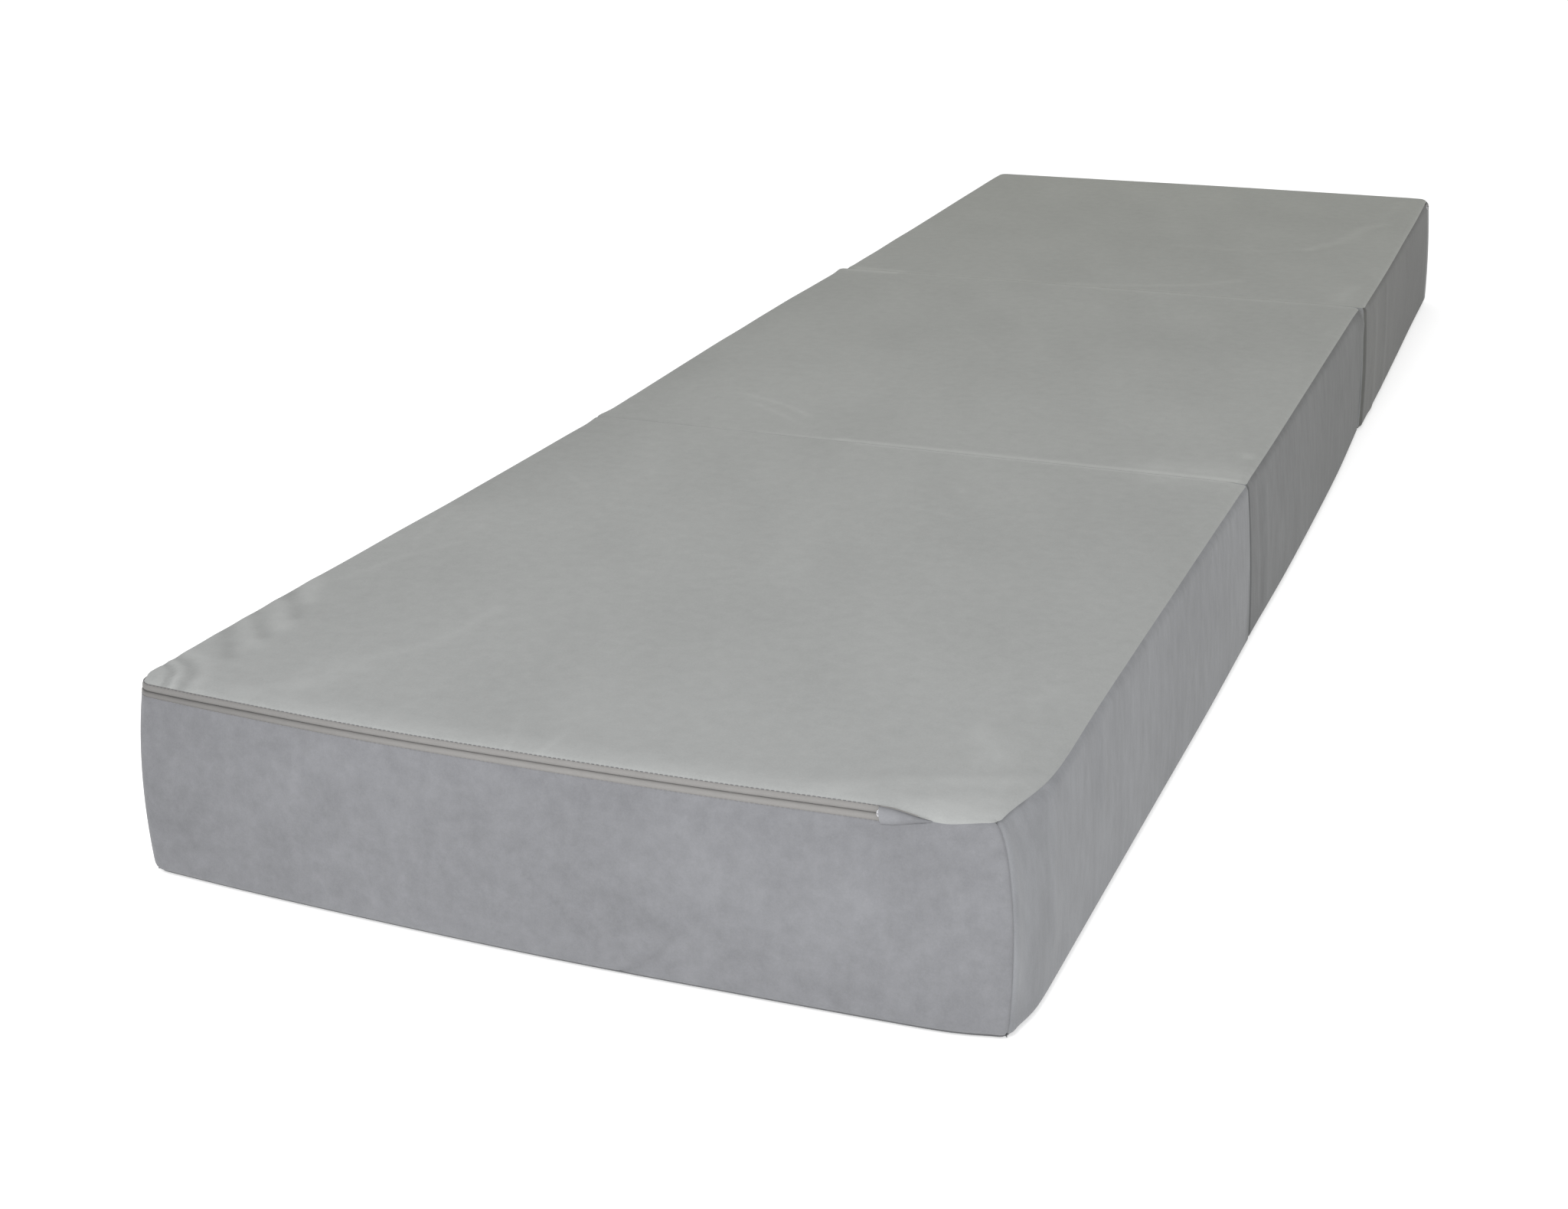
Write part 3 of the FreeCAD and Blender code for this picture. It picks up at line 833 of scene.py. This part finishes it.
def top_tone_and_painted_light(section, x, y):
    """How much lighter or darker than the plain colour the top is: brushed pile and random tone, with
    painted light and shade.

    On the front section a painted highlight runs along the zip side, except on the very edge, which gets
    a narrow painted shade. The highlight fades towards the left corner. Every top gets painted shade
    towards the back.
    """
    along_y = y + section.centre_y
    outward = OUTWARD[section.zip_side]
    # The folds round the front's left corner get painted light on their ridges and painted shade in
    # their hollows.
    nap = strokes(x, along_y, TOP_MARKS[section.name]) + 0.12 * corner_rings(section, x, y)
    # Painted highlight along the front section's zip edge, fainter towards the left corner, and a narrow
    # painted shade on the very edge.
    if section.name == "front":
        edge = section.reach(section.zip_side) - (x * outward[0] + y * outward[1])
        lit = 0.35 + 0.65 * ease(x, -0.29, -0.1)
        nap = nap + 0.17 * lit * np.exp(-((edge / (15 * MM)) ** 2))
        nap = nap - 0.15 * np.exp(-((edge / (4 * MM)) ** 2))
    # Painted shade, darker towards the back.
    nap = nap - 0.05 * ease(along_y, -0.3, 0.9)
    nap = nap + 0.03 * noise(x, along_y, 220 * MM, 21)
    return nap + 0.03 * noise(x * 1.6 + y * 0.5, y * 0.6, 60 * MM, 22)


def bottom_panel(section):
    rows = stations(-section.half_x, section.half_x, 14 * MM)
    columns = stations(-section.half_y, section.half_y, 14 * MM)
    y, x = np.meshgrid(columns, rows)
    points = section.soft_body(x, y, np.zeros_like(x))
    points = seam(points, rows, columns, ("low", "high", "start", "end"))
    piece = cloth(f"{section.name}_bottom_cover", points, FABRIC, MATERIALS["middle_side"], 0)
    declare(piece, section, "bottom_panel", flat=(2 * section.half_x, 2 * section.half_y))


def band_material(section, side):
    # The flanks take darker copies of the velour: painted shade that deepens from the front section to
    # the back.
    if section.name == "front":
        return MATERIALS["front" if side == "front" else "side"]
    return MATERIALS[f"{section.name}_side" if side in ("left", "right") else "side"]


def band(section, side):
    """One side of the cover; the zip side stops below the zip, and carries on round a corner."""
    half = section.half(side)
    zipped = side == section.zip_side
    start = -half - (section.wrap if zipped else 0)
    before_wrap = SIDES[(SIDES.index(section.zip_side) - 1) % 4]
    end = half - (section.wrap if side == before_wrap else 0)
    along = stations(start, end, STEP[section.name])
    share = stations(0, section.height, STEP[section.name]) / section.height
    s, v = np.meshgrid(along, share)
    top = section.height - (band_edge(section, along) if zipped else 0 * along)
    x, y, z = section.on_side(side, s, v * top[None, :])
    points = section.soft_body(x, y, z)
    place = s if side in ("front", "back") else s * ALONG[side][1] + section.centre_y
    folds = strokes(place, z, BAND_FOLDS.get((section.name, side), []))
    folds = folds * ease(section.height - z, 0, 14 * MM)
    points = points + grid_normals(points) * (folds * MM)[..., None]
    upright = np.where(y + section.centre_y < -0.9, 1, 0.3)
    points = seam(points, share * section.height, along, ("start", "end"), upright)
    points = seam(points, share * section.height, along, ("low",))
    points = seam(points, share * section.height, along, ("high",), flank_seam(section, x, y))
    nap = 0.05 * noise(s, z, 35 * MM, 31 + SIDES.index(side)) + 0.03 * noise(s, z * 0.4, 90 * MM, 35)
    nap = nap + strokes(place, z, BAND_MARKS.get((section.name, side), []))
    if side in ("left", "right"):  # painted shade, darker towards the far end
        nap = nap - 0.07 * ease(place - section.centre_y, -section.half_y, section.half_y)
    elif side != section.zip_side:  # inside a fold: painted light against the shade in the gap
        nap = nap + 0.05
    elif section.name == "front":  # painted shade, darker to the left
        nap = nap + 0.03 * place / section.half_x - 0.11 * ease(place, -0.1, -0.3)
    piece = cloth(f"{section.name}_{side}_cover", points, FABRIC, band_material(section, side), nap)
    declare(piece, section, f"{side}_band", flat=(end - start, section.height))


# ---------------------------------------------------------------- foam

FOAM_INSET = 6 * MM
FOAM_RADIUS = 16 * MM


def foam_block(section, layer, low, high):
    """A rounded block that fills the cover with a little room to spare."""
    hx, hy = section.half_x - FOAM_INSET, section.half_y - FOAM_INSET
    xs, ys, zs = (np.linspace(-hx, hx, 25), np.linspace(-hy, hy, 27), np.linspace(low, high, 7))
    grids = [
        np.meshgrid(xs, ys, [high], indexing="ij"),
        np.meshgrid(xs[::-1], ys, [low], indexing="ij"),
        np.meshgrid([hx], ys, zs, indexing="ij"),
        np.meshgrid([-hx], ys[::-1], zs, indexing="ij"),
        np.meshgrid(xs[::-1], [hy], zs, indexing="ij"),
        np.meshgrid(xs, [-hy], zs, indexing="ij"),
    ]
    points, faces, offset = [], [], 0
    for grid in grids:
        face = np.stack([np.squeeze(g) for g in grid], axis=-1)
        points.append(face.reshape(-1, 3))
        faces.append(grid_faces(*face.shape[:2], offset, flip=True))
        offset += face.shape[0] * face.shape[1]
    flat = np.concatenate(points)
    centre = np.array([0, 0, (low + high) / 2])
    core = np.array([hx, hy, (high - low) / 2]) - FOAM_RADIUS
    near = np.clip(flat - centre, -core, core)
    over = flat - centre - near
    biggest = np.abs(over).max(axis=1, keepdims=True)
    over = over * biggest / np.maximum(np.linalg.norm(over, axis=1, keepdims=True), 1e-9)
    rounded = centre + near + over
    soft = section.swell(*flat.T, *rounded.T)
    piece = new_piece(f"{section.name}_{layer}_block", soft, np.concatenate(faces), MATERIALS[layer])
    declare(piece, section, layer, slot=layer)


# ---------------------------------------------------------------- zips

def along_zip(section, s, t, stand):
    """Points that follow the zip side: s along it, t down from its upper edge, stand proud of it."""
    s, t, stand = np.broadcast_arrays(np.asarray(s, float), t, stand)
    step = 0.2 * MM

    def at(ds, dt):
        x, y, z = section.on_side(section.zip_side, s + ds, section.height - (t + dt))
        return section.soft_body(x, y, z)

    centre, sideways, down = at(0, 0), at(step, 0), at(0, step)
    tangent = sideways - centre
    tangent /= np.linalg.norm(tangent, axis=-1, keepdims=True)
    upward = centre - down
    upward /= np.linalg.norm(upward, axis=-1, keepdims=True)
    outward = np.cross(tangent, upward)
    return centre + outward * stand[..., None], tangent, outward, upward


def zip_ends(section):
    half = section.half(section.zip_side)
    start = -half - section.wrap + 2 * MM if section.wrap else -half + OPEN_MARGIN
    return start, half - CLOSED_MARGIN


def zip_tapes(section):
    """The two tapes, each rolled in a little where they meet at the slit."""
    start, end = zip_ends(section)
    along = np.linspace(start, end - 9 * MM, int((end - start) / (3 * MM)))
    across = np.array([0, 0.12, 0.3, 0.5, 0.7, 0.85, 0.95, 1, 1.02])
    rise = np.array([0, 0, 0.15, 0.4, 0.5, 0.35, 0.0, -0.6, -1.2]) * MM
    slit = SLIT + droop(section, along)
    for level, side in (("upper", -1), ("lower", 1)):
        hem = top_edge(section, along) - TUCK if side < 0 else band_edge(section, along) + TUCK
        edge = slit + side * SLIT_WIDTH / 2
        order = slice(None, None, side)
        t = hem[None, :] + (edge - hem)[None, :] * across[:, None]
        stand = np.broadcast_to(rise[:, None] - TAPE_RECESS, t.shape)
        points = along_zip(section, np.broadcast_to(along, t.shape)[order], t[order], stand[order])[0]
        # Painted shade: the tape is darker at its hem, darkest where it rolls into the slit, and darker
        # still towards the left end.
        shade = np.array([-0.18, -0.12, -0.04, 0.02, 0.0, -0.08, -0.25, -0.6, -0.8])
        shade = np.broadcast_to(shade[:, None], t.shape)
        shade = shade - (0.22 if side < 0 else 0.34) * ease(-along, 0, 0.33)[None, :]
        piece = cloth(f"{section.name}_zip_{level}_tape_weave", points[::-1],
                      0.6 * MM, MATERIALS["tape"], shade[order][::-1])
        declare(piece, section, f"zip_{level}_tape", slot="zip_tape")


def swarm(name, places, frames, template, faces, material):
    """One mesh of many copies of a small template, each in its own frame."""
    tangent, outward, upward = frames
    template = np.asarray(template, float)
    points = (
        places[:, None, :]
        + tangent[:, None, :] * template[None, :, 0:1]
        + outward[:, None, :] * template[None, :, 1:2]
        + upward[:, None, :] * template[None, :, 2:3]
    )
    count = len(template)
    quads = np.concatenate([np.asarray(faces) + i * count for i in range(len(places))])
    return new_piece(name, points, quads, material, sharp=80)


def capsule(length, width, height, sides=6):
    """Points and faces of a rounded bar along the first axis."""
    rings = (0, 0.35, 0.75, 1, 1, 0.75, 0.35, 0)
    spots = (-0.5, -0.49, -0.44, -0.3, 0.3, 0.44, 0.49, 0.5)
    points = [
        (
            length * spot,
            width / 2 * max(ring, 0.02) * math.cos(2 * math.pi * k / sides),
            height / 2 * max(ring, 0.02) * math.sin(2 * math.pi * k / sides),
        )
        for spot, ring in zip(spots, rings)
        for k in range(sides)
    ]
    faces = []
    for near in range(0, (len(rings) - 1) * sides, sides):
        far = near + sides
        for k in range(sides):
            following = (k + 1) % sides
            faces.append((near + k, far + k, far + following, near + following))
    return points, faces


def zip_coils(section):
    """Coil teeth: short loops behind the slit, in turn from the upper and the lower tape."""
    pitch = 1.7 * MM
    start, end = zip_ends(section)
    count = int((end - GARAGE_LENGTH + 8 * MM - start) / pitch)
    bar, faces = capsule(2.4 * MM, 1.0 * MM, 0.9 * MM)
    template = [(z, y, x) for x, y, z in bar]
    for level, lift, shift in (("upper", 0.5 * MM, 0), ("lower", -0.5 * MM, 0.5 * pitch)):
        s = start + shift + pitch * np.arange(count)
        t = SLIT + droop(section, s) - lift
        place, tangent, outward, upward = along_zip(section, s, t, -TAPE_RECESS - 1.4 * MM)
        piece = swarm(f"{section.name}_zip_{level}_teeth", place, (tangent, outward, upward),
                      template, [f[::-1] for f in faces], MATERIALS["coil"])
        declare(piece, section, f"zip_{level}_coil", slot="zip_coil")


def stitches(section, name, edge, inside, material, pitch=3.2 * MM):
    """A row of stitches along one of the zip's edges."""
    start, end = zip_ends(section)
    s = np.arange(start + 2 * MM, end - GARAGE_LENGTH, pitch)
    place, tangent, outward, upward = along_zip(section, s, edge(section, s) + inside, -0.15 * MM)
    points, faces = capsule(2.1 * MM, 0.45 * MM, 0.45 * MM)
    piece = swarm(f"{section.name}_{name}", place, (tangent, outward, upward), points, faces,
                  MATERIALS[material])
    declare(piece, section, slot="zip_coil")


def sunk(section):
    """How far the closed slider sits in: on a flank it is pulled back flush with the cover."""
    return 0 if section.wrap else 1.8 * MM


def garage(section):
    """A puffed pocket of cover cloth over the closed slider, open towards the zip."""
    end = zip_ends(section)[1]
    along = np.linspace(end - GARAGE_LENGTH, end + 1 * MM, 26)
    across = np.linspace(0, 1, 15)
    s, v = np.meshgrid(along, across)
    far = (s - along[0]) / (along[-1] - along[0])
    upper, lower = top_edge(section, s) - 0.6 * MM, band_edge(section, s) + (2.6 - 1.8 * far) * MM
    t = lower + (upper - lower) * v
    puff = np.sin(math.pi * v**1.15) ** 0.55 * (1 - far**3) * (4.4 + 0.4 * np.sin(9 * far + 2 * v)) * MM
    points = along_zip(section, s, t, puff - 0.5 * MM - sunk(section))[0]
    # Painted light and shade: lighter at the open mouth and darker towards the closed end, with a
    # painted shadow along the upper edge under the top panel.
    nap = 0.20 - 0.30 * far - 0.45 * np.exp(-(((1 - v) / 0.12) ** 2))
    piece = cloth(f"{section.name}_garage_pocket", points, 1.0 * MM, MATERIALS["front"], nap)
    declare(piece, section, "zip_garage", flat=(38 * MM, 12 * MM), held="folded", area=300 * MM**2)


def from_curve(outlines, thickness=0.0, bevel=0.0, flat=True):
    """Points and faces of a curve: closed flat outlines with a thickness, or an open round bar."""
    curve_data = bpy.data.curves.new("shape", "CURVE")
    curve_data.dimensions = "2D" if flat else "3D"
    curve_data.extrude = thickness / 2
    curve_data.bevel_depth = bevel
    curve_data.bevel_resolution = 2
    for outline in outlines:
        spline = curve_data.splines.new("POLY")
        spline.points.add(len(outline) - 1)
        for point, place in zip(spline.points, outline):
            point.co = (*place, *([0] * (3 - len(place))), 1)
        spline.use_cyclic_u = flat
    if flat:
        curve_data.fill_mode = "BOTH"
    else:
        curve_data.use_fill_caps = True
    holder = bpy.data.objects.new("shape", curve_data)
    mesh = bpy.data.meshes.new_from_object(holder)
    points = np.array([v.co[:] for v in mesh.vertices])
    faces = [tuple(p.vertices) for p in mesh.polygons]
    bpy.data.objects.remove(holder)
    bpy.data.curves.remove(curve_data)
    bpy.data.meshes.remove(mesh)
    return points, faces


def joined(parts):
    points, faces, offset = [], [], 0
    for part_points, part_faces in parts:
        points.append(np.asarray(part_points, float))
        faces += [tuple(i + offset for i in face) for face in part_faces]
        offset += len(part_points)
    return np.concatenate(points), faces


def rounded_outline(length, near, far, radius, arc=6):
    """A tapered outline with round corners: near and far are its widths at the two ends."""
    tip = length / 2
    corners = [(-tip, -near / 2), (tip, -far / 2), (tip, far / 2), (-tip, near / 2)]
    outline = []
    for i, (cx, cy) in enumerate(corners):
        sx, sy = math.copysign(radius, cx), math.copysign(radius, cy)
        start = (-math.pi, -math.pi / 2, 0, math.pi / 2)[i]
        for k in range(arc + 1):
            turn = start + math.pi / 2 * k / arc
            outline.append((cx - sx + radius * math.cos(turn), cy - sy + radius * math.sin(turn)))
    return outline


def in_zip_frame(section, part, s, t, stand):
    """A part drawn flat (along, up, outward), set in the zip's frame at one place."""
    points, faces = part
    place, tangent, outward, upward = (v[0] for v in along_zip(section, np.array([s]), t, stand))
    points = place + points[:, :1] * tangent + points[:, 1:2] * upward + points[:, 2:] * outward
    return points, faces


def place_metal(section, name, parts, s, t, stand):
    points, faces = in_zip_frame(section, joined(parts), s, t, stand)
    return new_piece(f"{section.name}_{name}", points, faces, MATERIALS["metal"], sharp=40)


def along_of(section, name):
    """Where a CAD node's middle lies along the section's zip side."""
    low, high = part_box(f"{section.name}_{name}")
    ax, ay = ALONG[section.zip_side]
    return (low[0] + high[0]) / 2 * ax + ((low[1] + high[1]) / 2 - section.centre_y) * ay


def slider(section):
    """The slider's two plates, its cheeks, the neck between them and the bridge for the pull."""
    s = along_of(section, "zip_slider")
    runner = f"{section.name}_zip_runner"
    plate, faces = from_curve([rounded_outline(7.6 * MM, 4.0 * MM, 5.4 * MM, 1.4 * MM)],
                              0.5 * MM, 0.4 * MM)
    parts = [(plate + [0, 0, 0.2 * MM], faces), (plate + [0, 0, -3.6 * MM], faces)]
    for up in (-1, 1):
        cheek = [(-3.8 * MM, up * 1.8 * MM, -0.5 * MM), (0, up * 2.3 * MM, -0.7 * MM),
                 (3.8 * MM, up * 2.5 * MM, -0.5 * MM)]
        parts.append(from_curve([cheek], bevel=0.55 * MM, flat=False))
    neck = [(3.0 * MM, 0, -3.6 * MM), (3.0 * MM, 0, 0.2 * MM)]
    parts.append(from_curve([neck], bevel=0.9 * MM, flat=False))
    arch = [(3.2 * MM * math.cos(a), 0, 0.3 * MM + 1.8 * MM * math.sin(a) ** 0.6)
            for a in np.linspace(0, math.pi, 15)]
    parts.append(from_curve([arch], bevel=0.6 * MM, flat=False))
    piece = place_metal(section, "slider_body", parts, s + 2.4 * MM, SLIT, -0.6 * MM - sunk(section))
    declare(piece, section, "zip_slider", slot="zip_metal", body=runner)

    hole = [(x - 4.6 * MM, y) for x, y in rounded_outline(4.2 * MM, 2.6 * MM, 2.8 * MM, 0.9 * MM)[::-1]]
    outline = rounded_outline(15 * MM, 4.4 * MM, 4.2 * MM, 1.5 * MM)
    tab = from_curve([outline, hole], 0.3 * MM, 0.3 * MM)
    piece = place_metal(section, "pull_tab", [tab], s + 8.0 * MM, SLIT, 0.8 * MM - sunk(section))
    declare(piece, section, "zip_pull", slot="zip_metal", body=runner)


def end_stops(section):
    """The clip at the zip's open end, and a small one that the closed slider stops against."""
    start = zip_ends(section)[0] + 1.5 * MM
    shut = along_of(section, "zip_slider") + 8 * MM
    clips = []
    for s, size, depth in ((start, 5.4 * MM, 0), (shut, 1.8 * MM, 2.2 * MM)):
        clip = from_curve([rounded_outline(2.6 * MM, size, size, 0.8 * MM)], 0.6 * MM, 0.5 * MM)
        down = SLIT + droop(section, np.array([s]))
        clips.append(in_zip_frame(section, clip, s, down, -TAPE_RECESS - depth))
    points, faces = joined(clips)
    piece = new_piece(f"{section.name}_end_clips", points, faces, MATERIALS["metal"], sharp=40)
    declare(piece, section, "zip_end_stops", slot="zip_metal")


# ---------------------------------------------------------------- hinge strips

STRIP_THICKNESS = 0.3 * MM
STRIP_REACH = 0.34 * MM


def hinge_strip(name, fold, top_edge):
    """A strip of tape folded into the gap, sewn to both sections along the edge they turn about.

    STRIP_REACH is how far its outer faces lie from the fold.
    """
    low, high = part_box(name)
    drop = high[2] - low[2]
    height = SECTIONS[0].height
    edge = height - 0.75 * MM if top_edge else 0.6 * MM
    away = -1 if top_edge else 1
    legs = np.linspace(drop, 1.2 * MM, 8)
    profile = [(-STRIP_REACH, edge + away * d) for d in legs]
    profile += [(-STRIP_REACH * math.cos(a), edge + away * (0.5 * MM - STRIP_REACH * math.sin(a)))
                for a in np.linspace(0, math.pi, 7)]
    profile += [(STRIP_REACH, edge + away * d) for d in legs[::-1]]
    if not top_edge:
        profile = profile[::-1]
    along = np.linspace(low[0], high[0], 60)
    points = np.array([[(x, fold + dy, z) for x in along] for dy, z in profile])
    piece = cloth(f"{name}_fabric", points, STRIP_THICKNESS, MATERIALS["strip"])
    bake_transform(piece)
    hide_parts(name)


# ---------------------------------------------------------------- build

for section in SECTIONS:
    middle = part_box(f"{section.name}_memory_foam")[0][2]
    foam_block(section, "base_foam", FOAM_INSET, middle)
    foam_block(section, "memory_foam", middle + 0.1 * MM, section.height - FOAM_INSET)
    top_panel(section)
    bottom_panel(section)
    for side_name in SIDES:
        band(section, side_name)
    zip_tapes(section)
    zip_coils(section)
    stitches(section, "upper_stitches", top_edge, -0.9 * MM, "thread")
    stitches(section, "lower_stitches", band_edge, 1.0 * MM, "pale_thread")
    end_stops(section)
    garage(section)
    slider(section)

JOINTS = frame["record"]["behaviour"]["joints"]
FOLDS = {joint["name"]: joint["pos_m"][1] for joint in JOINTS if "pos_m" in joint}
hinge_strip("front_hinge_strip", FOLDS["front_fold"], True)
hinge_strip("back_hinge_strip", FOLDS["back_fold"], False)
